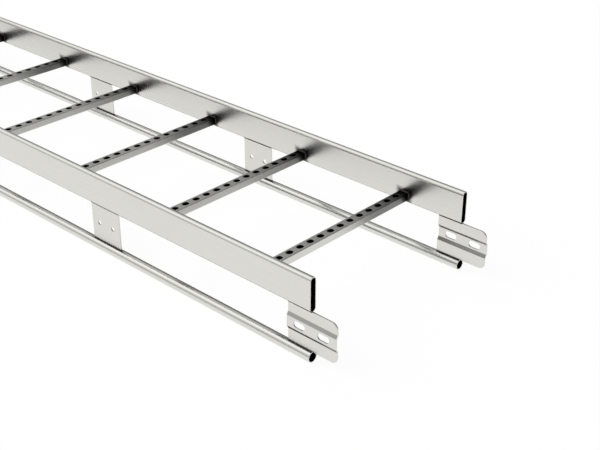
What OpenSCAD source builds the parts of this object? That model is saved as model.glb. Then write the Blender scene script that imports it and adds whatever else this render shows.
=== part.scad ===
// Cable ladder section with a lower chord on each side.
// Two flat-oval side rails are joined by perforated rungs. A round tube runs under each rail,
// held by flat web plates. A bent joint plate at one end takes the next section.
// +X runs along the section towards the joint plates, +Y to the left and +Z up.
// The origin is at the middle of the whole section's outline, on the floor under the chords.

/* [Section] */
// Length of the side rails and lower chords
section_length = 3000; // [1250:10:6000]
// Width over the outer faces of the side rails
outer_width = 400; // [200:5:800]
// Height of the open space between a rail and its chord
web_height = 73; // [60:0.5:200]

/* [Side rails] */
// Height of the flat-oval rail tube
rail_height = 61.5; // [40:0.5:120]
// Thickness of the flat-oval rail tube across its flat faces
rail_thickness = 13.5; // [8:0.5:16]
// Wall of the rail tube
rail_wall = 1.5; // [0.8:0.1:3]

/* [Lower chords] */
// Outside diameter of the chord tube
chord_diameter = 19.5; // [14:0.5:40]
// Wall of the chord tube
chord_wall = 1.5; // [0.8:0.1:3]

/* [Rungs] */
// Distance between the centres of neighbouring rungs
rung_pitch = 250; // [150:5:500]
// Width of the rung tube along the section
rung_width = 20; // [16:0.5:40]
// Height of the rung tube
rung_height = 15; // [10:0.5:25]
// Wall of the rung tube
rung_wall = 1.5; // [0.8:0.1:1.9]
// Outside corner radius of the rung tube
rung_corner = 2; // [2:0.1:2.5]
// Length of a rung slot, along the rung
rung_slot_length = 14; // [12:0.5:18]
// Width of a rung slot
rung_slot_width = 11; // [6:0.5:11.5]
// Distance between the centres of neighbouring rung slots
rung_slot_pitch = 25; // [20:0.5:50]
// Least distance from the end of a rung to the centre of its outermost slot
rung_slot_margin = 20; // [12:0.5:40]

/* [Web plates] */
// Distance between the centres of neighbouring web plates
web_pitch = 500; // [200:10:1000]
// Width of a web plate along the section
web_width = 76; // [60:1:120]
// Thickness of the web and joint plates
plate_thickness = 2.5; // [1.5:0.5:4]
// Diameter of the two holes in a web plate
web_hole_diameter = 9; // [5:0.5:13]
// Distance between the centres of the two holes in a web plate
web_hole_spacing = 37; // [20:1:44]

/* [Joint plates] */
// Length of a joint plate along the section
joint_length = 102; // [90:2:160]
// Length of a joint plate that stands out past the tube ends
joint_reach = 51; // [40:1:80]
// Height of the middle band of a joint plate
joint_band = 19; // [14:0.5:24]
// Height of each sloping band of a joint plate
joint_ramp = 6; // [4:0.5:8]
// Distance that the middle band stands out from the flat bands
joint_offset = 3.3; // [2:0.1:5]
// Height of the middle band and its slots above the middle of the joint plate
joint_rise = 1.8; // [0:0.1:3]
// Radius of the two free corners of a joint plate
joint_corner = 12; // [4:0.5:12]
// Length of a joint plate slot from end to end
joint_slot_length = 24; // [16:0.5:30]
// Width of a joint plate slot
joint_slot_width = 12; // [7:0.5:12]
// Distance between the centres of the two slots in a joint plate
joint_slot_spacing = 50; // [40:1:60]

/* [Hidden] */
$fn = 64;
// Extra length that takes a cutter clear of the faces it goes through
cut = 1;

// Places along X
overall_length = section_length + joint_reach;
plain_end_x = -overall_length / 2;
joint_end_x = plain_end_x + section_length;
middle_x = (plain_end_x + joint_end_x) / 2;

// Places along Y and Z
rail_radius = rail_thickness / 2;
rail_y = outer_width / 2 - rail_radius;
rung_end_y = rail_y - rail_radius;
chord_z = chord_diameter / 2;
web_bottom_z = chord_diameter;
web_middle_z = web_bottom_z + web_height / 2;
rail_bottom_z = web_bottom_z + web_height;
// The rung's underside is level with the lower end of the rail's flat face
rung_bottom_z = rail_bottom_z + rail_radius;

// Counts of the pieces that repeat
rung_count = floor(section_length / rung_pitch);
web_count = floor(section_length / web_pitch) - 1;
rung_length = 2 * rung_end_y;
rung_slot_count = 1 + floor((rung_length - 2 * rung_slot_margin) / rung_slot_pitch);

// Bends of a joint plate, as heights above its lower edge
bend_1 = (web_height - joint_band) / 2 - joint_ramp + joint_rise;
bend_2 = bend_1 + joint_ramp;
bend_3 = bend_2 + joint_band;
bend_4 = bend_3 + joint_ramp;
// Shift of a bend between the middle of the sheet and its faces
bend_shift = plate_thickness / 2 * tan(atan2(joint_offset, joint_ramp) / 2);

RUNGS = [for (i = [1:rung_count]) str("rung_", i)];
RIGHT_WEBS = [for (i = [1:web_count]) str("web_plate_right_", i)];
LEFT_WEBS = [for (i = [1:web_count]) str("web_plate_left_", i)];

// Place along X of the nth of a row of like pieces that is centred on the middle of the tubes
function row_x(n, count, pitch) = middle_x + row_place(n, count, pitch);

// Place of the nth of a row of like things, measured from the middle of the row
function row_place(n, count, pitch) = (n - (count + 1) / 2) * pitch;

// Outline with straight sides and round ends, its length along X
module long_round(length, width) {
    square([length - width, width], center = true);
    for (side = [-1, 1])
        translate([side * (length - width) / 2, 0])
            circle(d = width);
}

// Rectangle with rounded corners
module soft_rectangle(width, height, corner) {
    square([width - 2 * corner, height], center = true);
    square([width, height - 2 * corner], center = true);
    for (x = [-1, 1], y = [-1, 1])
        translate([x * (width / 2 - corner), y * (height / 2 - corner)])
            circle(r = corner);
}

// Extrudes an outline along +X. The outline's X becomes Y and its Y becomes Z.
module along_x(start, length) {
    translate([start, 0, 0])
        rotate([90, 0, 90])
            linear_extrude(length)
                children();
}

// Extrudes an outline along +Y. The outline's Y becomes Z.
module along_y(start, length) {
    translate([0, start + length, 0])
        rotate([90, 0, 0])
            linear_extrude(length)
                children();
}

// Keeps a piece made for the left side there, or mirrors it to the right side
module on_side(side) {
    if (side < 0)
        mirror([0, 1, 0]) children();
    else
        children();
}

// Flat-oval side rail, open at both ends
module rail(side) {
    color("gainsboro")
        along_x(plain_end_x, section_length)
            translate([side * rail_y, rail_bottom_z + rail_height / 2])
                rotate(90)
                    difference() {
                        long_round(rail_height, rail_thickness);
                        long_round(rail_height - 2 * rail_wall, rail_thickness - 2 * rail_wall);
                    }
}

// Round tube under a side rail, open at both ends
module chord(side) {
    color("gainsboro")
        along_x(plain_end_x, section_length)
            translate([side * rail_y, chord_z])
                difference() {
                    circle(d = chord_diameter);
                    circle(d = chord_diameter - 2 * chord_wall);
                }
}

// Rectangular tube between the rails, with a row of slots in its top face
module rung(x) {
    color("silver")
        difference() {
            translate([x, 0, rung_bottom_z + rung_height / 2])
                along_y(-rung_end_y, rung_length)
                    difference() {
                        soft_rectangle(rung_width, rung_height, rung_corner);
                        soft_rectangle(
                            rung_width - 2 * rung_wall,
                            rung_height - 2 * rung_wall,
                            rung_corner - rung_wall
                        );
                    }
            for (i = [1:rung_slot_count])
                translate([
                    x,
                    row_place(i, rung_slot_count, rung_slot_pitch),
                    rung_bottom_z + rung_height / 2
                ])
                    rotate(90)
                        linear_extrude(rung_height / 2 + cut)
                            long_round(rung_slot_length, rung_slot_width);
        }
}

// Flat plate between a rail and its chord, with two holes at mid height
module web_plate(x, side) {
    color("gainsboro")
        along_y(side * rail_y - plate_thickness / 2, plate_thickness)
            translate([x, web_middle_z])
                difference() {
                    square([web_width, web_height], center = true);
                    for (hole = [-1, 1])
                        translate([hole * web_hole_spacing / 2, 0])
                            circle(d = web_hole_diameter);
                }
}

// Section of a joint plate across its bends, in the plane of Y and Z.
// Its flat bands are centred on Y = 0 and its lower edge is at Z = 0.
module joint_section() {
    half = plate_thickness / 2;
    polygon([
        [half, 0],
        [half, bend_1 - bend_shift],
        [half + joint_offset, bend_2 - bend_shift],
        [half + joint_offset, bend_3 + bend_shift],
        [half, bend_4 + bend_shift],
        [half, web_height],
        [-half, web_height],
        [-half, bend_4 - bend_shift],
        [joint_offset - half, bend_3 - bend_shift],
        [joint_offset - half, bend_2 + bend_shift],
        [-half, bend_1 + bend_shift],
        [-half, 0]
    ]);
}

// Face of a joint plate seen from its side, with two slots and two round free corners
module joint_face() {
    difference() {
        union() {
            square([joint_length - joint_corner, web_height]);
            translate([0, joint_corner])
                square([joint_length, web_height - 2 * joint_corner]);
            for (z = [joint_corner, web_height - joint_corner])
                translate([joint_length - joint_corner, z])
                    circle(r = joint_corner);
        }
        for (slot = [-1, 1])
            translate([joint_length / 2 + slot * joint_slot_spacing / 2, web_height / 2 + joint_rise])
                long_round(joint_slot_length, joint_slot_width);
    }
}

// Bent plate that stands half out of the section's end, to take the next section
module joint_plate(side) {
    start_x = joint_end_x + joint_reach - joint_length;
    color("gainsboro")
        on_side(side)
            translate([start_x, rail_y, web_bottom_z])
                intersection() {
                    along_x(0, joint_length)
                        joint_section();
                    along_y(-plate_thickness - cut, 2 * (plate_thickness + cut) + joint_offset)
                        joint_face();
                }
}

rail(-1);  // rail_right
rail(1);  // rail_left
chord(-1);  // chord_right
chord(1);  // chord_left
for (i = [1:rung_count])
    rung(row_x(i, rung_count, rung_pitch));
for (i = [1:web_count])
    web_plate(row_x(i, web_count, web_pitch), -1);
for (i = [1:web_count])
    web_plate(row_x(i, web_count, web_pitch), 1);
joint_plate(-1);  // joint_plate_right
joint_plate(1);  // joint_plate_left
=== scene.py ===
"""Looks of the cable ladder section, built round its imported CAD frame.

Every CAD node is stood for by a finer mesh of the same size with rolled edges and bend radii,
and small weld seams join them. Meshes are built in millimetres, and materials work in metres.
"""

import math

import bmesh
import bpy
import numpy as np
from mathutils import Matrix, Vector, geometry


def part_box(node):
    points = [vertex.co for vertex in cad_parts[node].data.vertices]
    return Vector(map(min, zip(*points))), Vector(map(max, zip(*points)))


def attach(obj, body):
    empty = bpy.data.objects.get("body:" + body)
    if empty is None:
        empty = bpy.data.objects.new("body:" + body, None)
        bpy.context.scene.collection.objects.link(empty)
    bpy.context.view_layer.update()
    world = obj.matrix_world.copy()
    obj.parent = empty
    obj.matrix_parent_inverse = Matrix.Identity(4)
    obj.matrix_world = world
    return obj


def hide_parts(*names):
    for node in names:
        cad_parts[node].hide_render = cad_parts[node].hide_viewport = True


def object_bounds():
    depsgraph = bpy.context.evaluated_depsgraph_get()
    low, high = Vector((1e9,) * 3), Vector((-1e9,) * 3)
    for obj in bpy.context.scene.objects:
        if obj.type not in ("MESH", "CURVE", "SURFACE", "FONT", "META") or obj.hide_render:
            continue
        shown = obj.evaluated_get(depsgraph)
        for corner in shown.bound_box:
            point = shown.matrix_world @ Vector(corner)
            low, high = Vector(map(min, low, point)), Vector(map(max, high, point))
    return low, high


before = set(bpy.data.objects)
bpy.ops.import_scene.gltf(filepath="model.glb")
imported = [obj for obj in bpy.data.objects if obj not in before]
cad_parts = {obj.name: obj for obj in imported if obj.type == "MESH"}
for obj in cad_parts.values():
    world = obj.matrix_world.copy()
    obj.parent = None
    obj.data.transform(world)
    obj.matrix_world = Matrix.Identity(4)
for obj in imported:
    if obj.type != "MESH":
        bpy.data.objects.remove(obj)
cad_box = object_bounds()

MM = 0.001  # metres in a millimetre

# Sizes of the CAD part that its boxes don't give
RAIL_WALL = 1.5
CHORD_WALL = 1.5
RUNG_WALL = 1.5
RUNG_CORNER = 2
SLOT_LENGTH = 14
SLOT_WIDTH = 11
SLOT_PITCH = 25
SLOT_MARGIN = 20
PLATE = 2.5
WEB_HOLE = 9
WEB_HOLE_SPACING = 37
JOINT_BAND = 19
JOINT_RAMP = 6
JOINT_OFFSET = 3.3
JOINT_RISE = 1.8
JOINT_CORNER = 12
JOINT_SLOT_LENGTH = 24
JOINT_SLOT_WIDTH = 12
JOINT_SLOT_SPACING = 50

# Finish of the edges
CUT_EDGE = 0.25  # bevel of a sawn or punched edge
PLATE_CORNER = 0.4  # clipped corner of a web plate
BEND_STEPS = 6  # faces along one bend of a joint plate
BEND_RADIUS = 2.5  # radius of the joint plate's bends, at the middle of the sheet
WELD_LEG = 1.9  # reach of a weld seam along each of the faces that it joins
WELD_RIPPLE = 2.4  # length of one ripple of a weld seam
WELD_STEP = 0.8  # distance between a seam's rows of points
WELD_SINK = 0.06  # depth of a seam's edges in the faces

# Painted shade of whole areas, from 0 for none to 1 for nearly black
INNER_RUNG_SHADE = 0.28  # sides of a rung that faces others
LOWER_RAMP_OUTER_SHADE = 0.65
LOWER_RAMP_INNER_SHADE = 0.35
UPPER_RAMP_SHADE = 0.15

# Materials, in metres
GRAIN_ACROSS = 700.0  # noise scale across the grain
GRAIN_ALONG = 9.0  # noise scale along it
BUMP_HEIGHT = 0.000003
DARKEST = 0.97  # part of the colour that a full shade takes away
WEAR_LIGHT = 0.06  # brightening of a cut edge
WEAR_ROUGH = 0.15  # added roughness of a cut edge

# Surroundings
FLOOR_REACH = 60.0  # half the side of the floor
FLOOR_GLOW_SHARE = 0.78  # part of the floor's look that is plain white, and not its lit paint
FLOOR_CAMERA_EXTRA = 0.16  # added strength of that white as the camera sees it
DOME_LEVEL = 0.23
WHITE = (1, 1, 1, 1)


# ---------------------------------------------------------------- outlines

def arc(centre, radius, start, end, steps):
    """Points of an arc, from one angle to another in degrees."""
    angles = np.radians(np.linspace(start, end, steps + 1))
    return [(centre[0] + radius * math.cos(a), centre[1] + radius * math.sin(a)) for a in angles]


def long_round(length, width, steps):
    """Outline with straight sides along the first axis and round ends."""
    reach = (length - width) / 2
    return arc((reach, 0), width / 2, -90, 90, steps) + arc((-reach, 0), width / 2, 90, 270, steps)


def circle(diameter, steps):
    return arc((0, 0), diameter / 2, 0, 360, steps)[:-1]


def moved(points, x, y):
    return [(px + x, py + y) for px, py in points]


def turned(points):
    """The outline turned by a quarter."""
    return [(-y, x) for x, y in points]


# ---------------------------------------------------------------- mesh building

class Shape:
    """Collects faces in millimetres. Points that coincide become one vertex."""

    def __init__(self):
        self.mesh = bmesh.new()
        self.wear = self.mesh.verts.layers.float.new("wear")
        self.shade = self.mesh.verts.layers.float.new("shade")
        self.found = {}

    def vertex(self, point, wear=0.0, shade=0.0):
        key = tuple(round(c, 4) for c in point)
        if key not in self.found:
            self.found[key] = self.mesh.verts.new([c * MM for c in point])
        vertex = self.found[key]
        vertex[self.wear] = max(vertex[self.wear], wear)
        vertex[self.shade] = max(vertex[self.shade], shade)
        return vertex

    def darken(self, points, shade=1.0):
        for point in points:
            self.vertex(point, shade=shade)

    def face(self, points, wear=0.0):
        corners = []
        for point in points:
            corner = self.vertex(point, wear)
            if corner not in corners:
                corners.append(corner)
        if len(corners) > 2 and not self.mesh.faces.get(corners):
            self.mesh.faces.new(corners)

    def bridge(self, first, second, wear=0.0, closed=True):
        """A strip of faces between two rows of points."""
        count = len(first)
        for i in range(count if closed else count - 1):
            j = (i + 1) % count
            self.face([first[i], first[j], second[j], second[i]], wear)

    def rows(self, rows, wears, closed=True, ring=False):
        """Strips between each row and the next, and from the last to the first for a ring."""
        pairs = range(len(rows) if ring else len(rows) - 1)
        for i in pairs:
            j = (i + 1) % len(rows)
            self.bridge(rows[i], rows[j], 0.0, closed)
        for row, wear in zip(rows, wears):
            if wear:
                for point in row:
                    self.vertex(point, wear)

    def piece(self, name, material, nodes=()):
        """Makes the object, with normals weighted by area so that flat faces stay flat."""
        bmesh.ops.recalc_face_normals(self.mesh, faces=self.mesh.faces)
        data = bpy.data.meshes.new(name)
        self.mesh.to_mesh(data)
        self.mesh.free()
        data.shade_smooth()
        normals = np.zeros((len(data.vertices), 3))
        for polygon in data.polygons:
            weighted = np.array(polygon.normal) * polygon.area
            for index in polygon.vertices:
                normals[index] += weighted
        lengths = np.linalg.norm(normals, axis=1, keepdims=True)
        data.normals_split_custom_set_from_vertices(normals / np.maximum(lengths, 1e-12))
        data.materials.append(material)
        made = bpy.data.objects.new(name, data)
        bpy.context.scene.collection.objects.link(made)
        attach(made, "root")
        if nodes:
            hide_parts(*nodes)
        return made


def tube(shape, section, wall, start, end, place):
    """Open tube. section(inset) is its outline, and place(along, point) puts a point of it."""
    profile = [
        (start + CUT_EDGE, 0, 0.0),
        (end - CUT_EDGE, 0, 0.0),
        (end, CUT_EDGE, 1.0),
        (end, wall - CUT_EDGE, 1.0),
        (end - CUT_EDGE, wall, 0.0),
        (start + CUT_EDGE, wall, 0.0),
        (start, wall - CUT_EDGE, 1.0),
        (start, CUT_EDGE, 1.0),
    ]
    rows = [[place(along, point) for point in section(inset)] for along, inset, _ in profile]
    shape.rows(rows, [wear for _, _, wear in profile], ring=True)
    for row, (_, inset, _) in zip(rows, profile):
        if inset == wall:
            shape.darken(row)


def encloses(loop, point):
    """True if the closed outline goes round the point."""
    x, y = point
    crossings = 0
    for (x1, y1), (x2, y2) in zip(loop, loop[1:] + loop[:1]):
        if (y1 > y) != (y2 > y) and x < x1 + (y - y1) * (x2 - x1) / (y2 - y1):
            crossings += 1
    return crossings % 2 == 1


def flat_faces(outline, holes, lines=()):
    """Triangles that fill an outline less its holes, with edges along the given lines."""
    points = []
    edges = []
    for loop in [outline, *holes]:
        first = len(points)
        points += loop
        edges += [(first + i, first + (i + 1) % len(loop)) for i in range(len(loop))]
    for line in lines:
        first = len(points)
        points += line
        edges.append((first, first + 1))
    triangles_inside = 1
    corners, _, faces, sources, _, _ = geometry.delaunay_2d_cdt(
        [Vector(p) for p in points], edges, [], triangles_inside, 1e-5)
    exact = [points[source[0]] if source else tuple(corner)
             for corner, source in zip(corners, sources)]
    found = []
    for face in faces:
        triangle = [exact[i] for i in face]
        middle = [sum(values) / 3 for values in zip(*triangle)]
        if not any(encloses(hole, middle) for hole in holes):
            found.append(triangle)
    return found


def sheet(shape, outline, holes, place, thickness, lines=lambda inset: ()):
    """Sheet with holes and bevelled edges. place(point, height) lays it out in space."""
    half = thickness / 2
    for side in (-1, 1):
        loops = [hole(CUT_EDGE) for hole in holes]
        for face in flat_faces(outline(CUT_EDGE), loops, lines(CUT_EDGE)):
            shape.face([place(point, side * half) for point in face])
    levels = [(CUT_EDGE, half), (0, half - CUT_EDGE), (0, CUT_EDGE - half), (CUT_EDGE, -half)]
    for loop in [outline, *holes]:
        rows = [[place(point, height) for point in loop(inset)] for inset, height in levels]
        shape.rows(rows, [0.0, 1.0, 1.0, 0.0])


# ---------------------------------------------------------------- materials

def node_tree(material):
    material.use_nodes = True
    tree = material.node_tree
    tree.nodes.clear()
    return tree


def add(tree, kind, **values):
    """Adds a node. Values name its properties, or its inputs by number as _0, _1 and so on."""
    node = tree.nodes.new(kind)
    for name, value in values.items():
        if name[0] == "_":
            socket = node.inputs[int(name[1:])]
            if isinstance(value, bpy.types.NodeSocket):
                tree.links.new(value, socket)
            else:
                socket.default_value = value
        else:
            setattr(node, name, value)
    return node


def math_node(tree, operation, *values):
    """Output of a maths node."""
    inputs = {"_%d" % i: value for i, value in enumerate(values)}
    return add(tree, "ShaderNodeMath", operation=operation, **inputs).outputs[0]


def ramp(tree, value, start, end, low, high):
    """Output that goes smoothly from low to high as the value goes from start to end."""
    return add(tree, "ShaderNodeMapRange", interpolation_type="SMOOTHSTEP",
               _0=value, _1=start, _2=end, _3=low, _4=high).outputs[0]


def steel(name, colour, roughness, along, grain, painted_shade=None):
    """Brushed steel. along is the axis that the grain follows, grain its depth.

    The last argument, if given, paints shade: called with (tree, place), it gives how much darker each
    point is painted, from 0 to 1.
    """
    material = bpy.data.materials.new(name)
    tree = node_tree(material)
    out = add(tree, "ShaderNodeOutputMaterial")
    shader = add(tree, "ShaderNodeBsdfPrincipled")
    tree.links.new(shader.outputs[0], out.inputs[0])
    shader.inputs["Metallic"].default_value = 1.0
    place = add(tree, "ShaderNodeTexCoord").outputs["Object"]

    stretch = [GRAIN_ACROSS] * 3
    stretch["xyz".index(along)] = GRAIN_ALONG
    fine_place = add(tree, "ShaderNodeMapping", _0=place, _3=stretch)
    fine = add(tree, "ShaderNodeTexNoise", _0=fine_place.outputs[0], _2=1.0, _3=3.0).outputs[0]
    broad = add(tree, "ShaderNodeTexNoise", _0=place, _2=7.0, _3=4.0).outputs[0]
    wear = add(tree, "ShaderNodeAttribute", attribute_name="wear").outputs["Fac"]
    shade = add(tree, "ShaderNodeAttribute", attribute_name="shade").outputs["Fac"]

    tone = ramp(tree, fine, 0.3, 0.7, 0.98, 1.02)
    cloud = ramp(tree, broad, 0.3, 0.7, 0.98, 1.02)
    level = math_node(tree, "MULTIPLY", tone, cloud)
    level = math_node(tree, "MULTIPLY_ADD", wear, WEAR_LIGHT, level)
    kept = math_node(tree, "MULTIPLY_ADD", shade, -DARKEST, 1.0)
    level = math_node(tree, "MULTIPLY", level, kept)
    # Painted shade, made a little uneven by the broad noise.
    if painted_shade:
        uneven = ramp(tree, broad, 0.3, 0.6, 0.85, 1.0)
        taken = math_node(tree, "MULTIPLY", painted_shade(tree, place), uneven)
        level = math_node(tree, "MULTIPLY", level, math_node(tree, "SUBTRACT", 1.0, taken))
    tinted = add(tree, "ShaderNodeVectorMath", operation="SCALE", _0=colour)
    tree.links.new(level, tinted.inputs["Scale"])
    tree.links.new(tinted.outputs[0], shader.inputs["Base Color"])

    rough = ramp(tree, broad, 0.3, 0.7, roughness - 0.03, roughness + 0.03)
    rough = math_node(tree, "MULTIPLY_ADD", wear, WEAR_ROUGH, rough)
    tree.links.new(rough, shader.inputs["Roughness"])

    bump = add(tree, "ShaderNodeBump", _0=grain, _1=BUMP_HEIGHT, _3=fine)
    tree.links.new(bump.outputs[0], shader.inputs["Normal"])
    return material


def rung_painted_shade(tree, place):
    """Painted shade at both ends of a rung, next to the rails, and further along it at the left side.
    """
    y = add(tree, "ShaderNodeSeparateXYZ", _0=place).outputs[1]
    ends = ramp(tree, math_node(tree, "ABSOLUTE", y), 0.140, 0.180, 0.0, 0.97)
    left = ramp(tree, y, 0.0, 0.180, 0.0, 0.65)
    return math_node(tree, "MAXIMUM", ends, left)


def rail_painted_shade(tree, place):
    """Painted shade on a rail's inner face, round the end of each rung. Repeats at the rungs' pitch."""
    low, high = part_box("rung_1")
    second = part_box("rung_2")[0]
    spots = add(tree, "ShaderNodeSeparateXYZ", _0=place).outputs
    pitch = second.x - low.x
    past = math_node(tree, "SUBTRACT", spots[0], (low.x + high.x) / 2 - pitch / 2)
    across = math_node(tree, "SUBTRACT", math_node(tree, "FLOORED_MODULO", past, pitch), pitch / 2)
    across = math_node(tree, "SUBTRACT", math_node(tree, "ABSOLUTE", across), (high.x - low.x) / 2)
    above = math_node(tree, "SUBTRACT", spots[2], (low.z + high.z) / 2)
    above = math_node(tree, "SUBTRACT", math_node(tree, "ABSOLUTE", above), (high.z - low.z) / 2)
    reach = math_node(tree, "MAXIMUM", across, above)
    inner = ramp(tree, math_node(tree, "ABSOLUTE", spots[1]), 0.187, 0.190, 1.0, 0.0)
    return math_node(tree, "MULTIPLY", ramp(tree, reach, 0.001, 0.011, 0.85, 0.0), inner)


# ---------------------------------------------------------------- pieces

def size_of(node):
    low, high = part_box(node)
    return [c / MM for c in low], [c / MM for c in high]


def make_rail(node, material):
    low, high = size_of(node)
    width = high[1] - low[1]
    height = high[2] - low[2]
    middle = ((low[1] + high[1]) / 2, (low[2] + high[2]) / 2)
    shape = Shape()
    tube(
        shape,
        lambda inset: moved(turned(long_round(height - 2 * inset, width - 2 * inset, 24)), *middle),
        RAIL_WALL, low[0], high[0],
        lambda along, point: (along, *point),
    )
    return shape.piece(node + "_finish", material, [node])


def make_chord(node, material):
    low, high = size_of(node)
    diameter = high[2] - low[2]
    middle = ((low[1] + high[1]) / 2, (low[2] + high[2]) / 2)
    shape = Shape()
    tube(
        shape,
        lambda inset: moved(circle(diameter - 2 * inset, 64), *middle),
        CHORD_WALL, low[0], high[0],
        lambda along, point: (along, *point),
    )
    return shape.piece(node + "_finish", material, [node])


def make_rung(node, material, end_x):
    """Rectangular tube with slots in its top face, its outline in X and Z.

    The sides of a rung short of end_x face other rungs and get painted shade.
    """
    low, high = size_of(node)
    width = high[0] - low[0]
    height = high[2] - low[2]
    x = (low[0] + high[0]) / 2
    z = (low[2] + high[2]) / 2
    flat = width / 2 - RUNG_CORNER
    upright = height / 2 - RUNG_CORNER

    def skirt(inset):
        """The outline from one side of the flat top, down and round to the other."""
        points = []
        for turn, (cx, cz) in zip((90, 0, -90, -180), ((flat, upright), (flat, -upright),
                                                       (-flat, -upright), (-flat, upright))):
            points += arc((cx, cz), RUNG_CORNER - inset, turn, turn - 90, 5)
        return moved(points, x, z)

    shape = Shape()
    ends = (low[1], high[1])
    for inset in (0, RUNG_WALL):
        rows = [[(px, y, pz) for px, pz in skirt(inset)] for y in ends]
        shape.rows(rows, [0, 0], closed=False)
        if inset:
            shape.darken(rows[0] + rows[1])
        elif high[0] < end_x:
            shape.darken([p for p in rows[0] + rows[1] if abs(p[2] - z) < upright + 0.1],
                         INNER_RUNG_SHADE)
    for y in ends:
        outer, inner = ([(px, y, pz) for px, pz in skirt(inset)] for inset in (0, RUNG_WALL))
        shape.bridge(outer, inner)

    count = 1 + int((high[1] - low[1] - 2 * SLOT_MARGIN) // SLOT_PITCH)
    places = [(i - (count - 1) / 2) * SLOT_PITCH for i in range(count)]

    def slot(y, inset):
        return moved(turned(long_round(SLOT_LENGTH + 2 * inset, SLOT_WIDTH + 2 * inset, 14)), x, y)

    top = [(x + flat, low[1]), (x + flat, high[1]), (x - flat, high[1]), (x - flat, low[1])]
    for level in (high[2], high[2] - RUNG_WALL):
        for face in flat_faces(top, [slot(y, CUT_EDGE) for y in places]):
            corners = [(px, py, level) for px, py in face]
            shape.face(corners)
            if level < high[2]:
                shape.darken(corners)
    levels = [
        (CUT_EDGE, high[2]),
        (0, high[2] - CUT_EDGE),
        (0, high[2] - RUNG_WALL + CUT_EDGE),
        (CUT_EDGE, high[2] - RUNG_WALL),
    ]
    for y in places:
        rows = [[(*point, level) for point in slot(y, inset)] for inset, level in levels]
        shape.rows(rows, [0.0, 1.0, 1.0, 0.0])
    return shape.piece(node + "_finish", material, [node])


def make_web_plate(node, material):
    low, high = size_of(node)
    middle = [(a + b) / 2 for a, b in zip(low, high)]

    def outline(inset):
        left, right = low[0] + inset, high[0] - inset
        bottom, top = low[2] + inset, high[2] - inset
        clip = PLATE_CORNER
        return [(left + clip, bottom), (right - clip, bottom), (right, bottom + clip),
                (right, top - clip), (right - clip, top), (left + clip, top),
                (left, top - clip), (left, bottom + clip)]

    def hole(side):
        x = middle[0] + side * WEB_HOLE_SPACING / 2
        return lambda inset: moved(circle(WEB_HOLE + 2 * inset, 36), x, middle[2])

    shape = Shape()
    sheet(shape, outline, [hole(-1), hole(1)],
          lambda point, height: (point[0], middle[1] + height, point[1]), PLATE)
    return shape.piece(node + "_finish", material, [node])


def joint_line(height):
    """The joint plate's section: (z, outward, angle) along the middle of the sheet."""
    flat = (height - JOINT_BAND) / 2 - JOINT_RAMP + JOINT_RISE
    lean = math.atan2(JOINT_OFFSET, JOINT_RAMP)
    bends = [
        (flat, 0, 1),
        (flat + JOINT_RAMP, JOINT_OFFSET, -1),
        (flat + JOINT_RAMP + JOINT_BAND, JOINT_OFFSET, -1),
        (flat + 2 * JOINT_RAMP + JOINT_BAND, 0, 1),
    ]
    reach = BEND_RADIUS * math.tan(lean / 2)
    line = [(0.0, 0.0, 0.0)]
    angle = 0.0
    for z, out, turn in bends:
        before = (z - reach * math.cos(angle), out - reach * math.sin(angle))
        centre = (before[0] - turn * BEND_RADIUS * math.sin(angle),
                  before[1] + turn * BEND_RADIUS * math.cos(angle))
        for i in range(BEND_STEPS + 1):
            a = angle + turn * lean * i / BEND_STEPS
            line.append((centre[0] + turn * BEND_RADIUS * math.sin(a),
                         centre[1] - turn * BEND_RADIUS * math.cos(a), a))
        angle += turn * lean
    return line + [(height, 0.0, 0.0)]


def make_joint_plate(node, material):
    low, high = size_of(node)
    length = high[0] - low[0]
    height = high[2] - low[2]
    side = 1 if low[1] > 0 else -1
    face_y = (low[1] if side > 0 else high[1]) + side * PLATE / 2
    line = joint_line(height)
    bends = [z for z, _, _ in line[1:-1]]
    zs, outs, leans = (np.array(values) for values in zip(*line))

    def place(point, out):
        x, z = point
        lean = float(np.interp(z, zs, leans))
        y = float(np.interp(z, zs, outs)) + out * math.cos(lean)
        return (low[0] + x, face_y + side * y, low[2] + z - out * math.sin(lean))

    def outline(inset):
        r = JOINT_CORNER - inset
        right = length - JOINT_CORNER
        return (
            [(inset, inset)]
            + arc((right, JOINT_CORNER), r, -90, 0, 10)
            + [(length - inset, z) for z in bends]
            + arc((right, height - JOINT_CORNER), r, 0, 90, 10)
            + [(inset, height - inset)]
            + [(inset, z) for z in reversed(bends)]
        )

    def slot(offset):
        x = length / 2 + offset * JOINT_SLOT_SPACING / 2
        return lambda inset: moved(
            long_round(JOINT_SLOT_LENGTH + 2 * inset, JOINT_SLOT_WIDTH + 2 * inset, 16),
            x, height / 2 + JOINT_RISE,
        )

    shape = Shape()
    sheet(shape, outline, [slot(-1), slot(1)], place, PLATE,
          lambda inset: [[(inset, z), (length - inset, z)] for z in bends])
    per_bend = BEND_STEPS + 1
    half = BEND_STEPS // 2
    lower_ramp = range(half, per_bend + half + 1)
    upper_ramp = range(2 * per_bend + half, 3 * per_bend + half + 1)
    for out in (-1, 1):
        lower = LOWER_RAMP_OUTER_SHADE if out == side else LOWER_RAMP_INNER_SHADE
        for ramp_points, shade in ((lower_ramp, lower), (upper_ramp, UPPER_RAMP_SHADE)):
            shape.darken([place((x, bends[i]), out * PLATE / 2) for i in ramp_points
                          for x in (CUT_EDGE, length - CUT_EDGE)], shade)
    return shape.piece(node + "_finish", material, [node])


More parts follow.
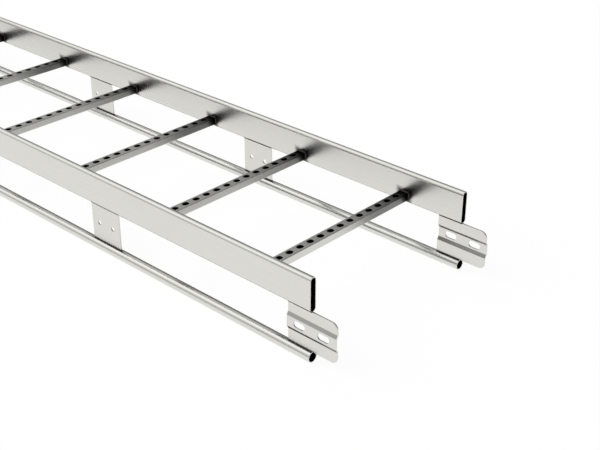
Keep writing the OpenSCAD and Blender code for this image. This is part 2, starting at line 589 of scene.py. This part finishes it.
def seam(shape, points, closed=False):
    """Weld bead along a row of (place, first way, second way), in the corner of two faces."""
    spans = [math.dist(a[0], b[0]) for a, b in zip(points, points[1:])]
    travelled = np.concatenate([[0.0], np.cumsum(spans)])
    rows = []
    for (place, first, second), s in zip(points, travelled):
        leg = WELD_LEG * (1 + 0.12 * math.sin(2 * math.pi * s / WELD_RIPPLE))
        row = []
        for i in range(5):
            a = math.pi / 2 * i / 4
            bulge = 1 - 0.3 * math.sin(2 * a)
            across, along = leg * math.cos(a) * bulge, leg * math.sin(a) * bulge
            row.append(tuple(place[k] + across * first[k] + along * second[k] - WELD_SINK * (
                first[k] + second[k]) for k in range(3)))
        rows.append(row)
    if closed:
        rows.append(rows[0])
    for before, after in zip(rows, rows[1:]):
        shape.bridge(before, after, closed=False)
    if not closed:
        for place, row in ((points[0][0], rows[0]), (points[-1][0], rows[-1])):
            for i in range(4):
                shape.face([place, row[i], row[i + 1]])


def make_plate_seams(node, material, last_x):
    """Beads along both faces of a plate, at the chord below it and the rail above it."""
    low, high = size_of(node)
    side = 1 if low[1] > 0 else -1
    inner = low[1] if side > 0 else high[1]
    start, end = low[0] + 1, min(high[0], last_x) - 1
    count = int((end - start) / WELD_STEP)
    shape = Shape()
    for level, up in ((low[2], 1), (high[2], -1)):
        for face, out in ((inner, -side), (inner + side * PLATE, side)):
            xs = np.linspace(start, end, count)
            seam(shape, [((x, face, level), (0, out, 0), (0, 0, up)) for x in xs])
    return shape.piece(node + "_welds", material)


def make_rung_seams(node, material):
    """Beads round both ends of a rung, on the rails' inner faces."""
    low, high = size_of(node)
    x, z = (low[0] + high[0]) / 2, (low[2] + high[2]) / 2
    flat = (high[0] - low[0]) / 2 - RUNG_CORNER
    upright = (high[2] - low[2]) / 2 - RUNG_CORNER
    shape = Shape()
    for y, inwards in ((low[1], 1), (high[1], -1)):
        points = []
        for cx, cz, turn in ((flat, upright, 0), (-flat, upright, 90),
                             (-flat, -upright, 180), (flat, -upright, 270)):
            for a in np.radians(np.linspace(turn, turn + 90, 5)):
                way = (math.cos(a), 0, math.sin(a))
                points.append(((x + cx + RUNG_CORNER * way[0], y, z + cz + RUNG_CORNER * way[2]), way))
        filled = []
        for (place, way), (after, _) in zip(points, points[1:] + points[:1]):
            steps = max(1, round(math.dist(place, after) / WELD_STEP))
            filled += [(tuple(np.array(place) + (np.array(after) - place) * i / steps), way)
                       for i in range(steps)]
        seam(shape, [(place, way, (0, inwards, 0)) for place, way in filled], closed=True)
    return shape.piece(node + "_welds", material)


# ---------------------------------------------------------------- surroundings

def make_floor(top):
    """White floor. It shows the object's shadow, and metal reflects it as plain white."""
    size = FLOOR_REACH
    data = bpy.data.meshes.new("floor")
    corners = [(-size, -size, top), (size, -size, top), (size, size, top), (-size, size, top)]
    data.from_pydata(corners, [], [(0, 1, 2, 3)])
    floor = bpy.data.objects.new("floor", data)
    bpy.context.scene.collection.objects.link(floor)
    material = bpy.data.materials.new("floor_white")
    tree = node_tree(material)
    out = add(tree, "ShaderNodeOutputMaterial")
    paint = add(tree, "ShaderNodeBsdfDiffuse", _0=(0.9, 0.9, 0.9, 1))
    path = add(tree, "ShaderNodeLightPath")
    strength = math_node(tree, "MULTIPLY_ADD", path.outputs["Is Camera Ray"],
                         FLOOR_CAMERA_EXTRA, 1.0)
    glow = add(tree, "ShaderNodeEmission", _0=WHITE, _1=strength)
    seen = add(tree, "ShaderNodeMath", operation="MAXIMUM",
               _0=path.outputs["Is Glossy Ray"], _1=path.outputs["Is Transmission Ray"])
    share = add(tree, "ShaderNodeMath", operation="MULTIPLY_ADD",
                _0=path.outputs["Is Camera Ray"], _1=FLOOR_GLOW_SHARE, _2=seen.outputs[0])
    mix = add(tree, "ShaderNodeMixShader",
              _0=share.outputs[0], _1=paint.outputs[0], _2=glow.outputs[0])
    tree.links.new(mix.outputs[0], out.inputs[0])
    data.materials.append(material)


def facing(tree, place, azimuth, height, power, level):
    """Soft patch of light round one direction of the sky, given in degrees."""
    azimuth, height = math.radians(azimuth), math.radians(height)
    way = (math.cos(height) * math.cos(azimuth), math.cos(height) * math.sin(azimuth),
           math.sin(height))
    near = add(tree, "ShaderNodeVectorMath", operation="DOT_PRODUCT", _0=place, _1=way)
    near = math_node(tree, "MAXIMUM", near.outputs["Value"], 0.0)
    return math_node(tree, "MULTIPLY", math_node(tree, "POWER", near, power), level)


def make_world():
    """Soft studio dome with one broad light high up and one along the near side, white behind."""
    world = bpy.data.worlds.new("studio")
    bpy.context.scene.world = world
    tree = node_tree(world)
    out = add(tree, "ShaderNodeOutputWorld")
    place = add(tree, "ShaderNodeTexCoord").outputs["Generated"]
    way = add(tree, "ShaderNodeVectorMath", operation="NORMALIZE", _0=place).outputs[0]
    high = facing(tree, way, 205, 48, 5.0, 1.15)
    side = facing(tree, way, 250, 0, 3.0, 0.05)
    level = math_node(tree, "ADD", math_node(tree, "ADD", high, side), DOME_LEVEL)
    dome = add(tree, "ShaderNodeBackground", _0=WHITE, _1=level)
    white = add(tree, "ShaderNodeBackground", _0=WHITE, _1=1.0)
    path = add(tree, "ShaderNodeLightPath")
    mix = add(tree, "ShaderNodeMixShader",
              _0=path.outputs["Is Camera Ray"], _1=dome.outputs[0], _2=white.outputs[0])
    tree.links.new(mix.outputs[0], out.inputs[0])


def make_camera():
    """Camera at the photo's angle, near the end that has the joint plates."""
    location = (2.43797, -1.26244, 1.02269)
    yaw, pitch, roll = (math.radians(a) for a in (132.818, 28.466, 0.115))
    ahead = Vector((math.cos(pitch) * math.cos(yaw), math.cos(pitch) * math.sin(yaw), -math.sin(pitch)))
    right = Vector((math.sin(yaw), -math.cos(yaw), 0))
    up = right.cross(ahead)
    right, up = (
        math.cos(roll) * right + math.sin(roll) * up,
        math.cos(roll) * up - math.sin(roll) * right,
    )
    data = bpy.data.cameras.new("camera")
    data.sensor_width = 36
    data.lens = 67.71
    data.clip_end = 200
    camera = bpy.data.objects.new("camera", data)
    bpy.context.scene.collection.objects.link(camera)
    turn = Matrix((right, up, -ahead)).transposed()
    camera.matrix_world = Matrix.Translation(location) @ turn.to_4x4()
    bpy.context.scene.camera = camera


make_camera()
make_floor(cad_box[0].z)
make_world()

WARM = (0.724, 0.719, 0.679)
# Painted shade on the rails' inner faces, round the rung ends.
tube_steel = steel("tube_steel", WARM, 0.30, "x", 0.10, rail_painted_shade)
chord_steel = steel("chord_steel", WARM, 0.27, "x", 0.02)
# Painted shade on the rungs, at their ends and towards the left side.
rung_steel = steel("rung_steel", WARM, 0.42, "y", 0.15, rung_painted_shade)
plate_steel = steel("plate_steel", WARM, 0.30, "x", 0.15)
weld_steel = steel("weld_steel", (0.05, 0.047, 0.044), 0.45, "z", 0.3)
rail_end = size_of("rail_right")[1][0]
end_rung_x = max(size_of(node)[1][0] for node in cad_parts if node.startswith("rung"))

for node in sorted(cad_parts):
    if node.startswith("rail"):
        make_rail(node, tube_steel)
    elif node.startswith("chord"):
        make_chord(node, chord_steel)
    elif node.startswith("rung"):
        make_rung(node, rung_steel, end_rung_x)
        make_rung_seams(node, weld_steel)
    elif node.startswith("web_plate"):
        make_web_plate(node, plate_steel)
        make_plate_seams(node, weld_steel, rail_end)
    else:
        make_joint_plate(node, plate_steel)
        make_plate_seams(node, weld_steel, rail_end)

scene = bpy.context.scene
scene.cycles.glossy_bounces = 0
scene.view_settings.view_transform = "Standard"
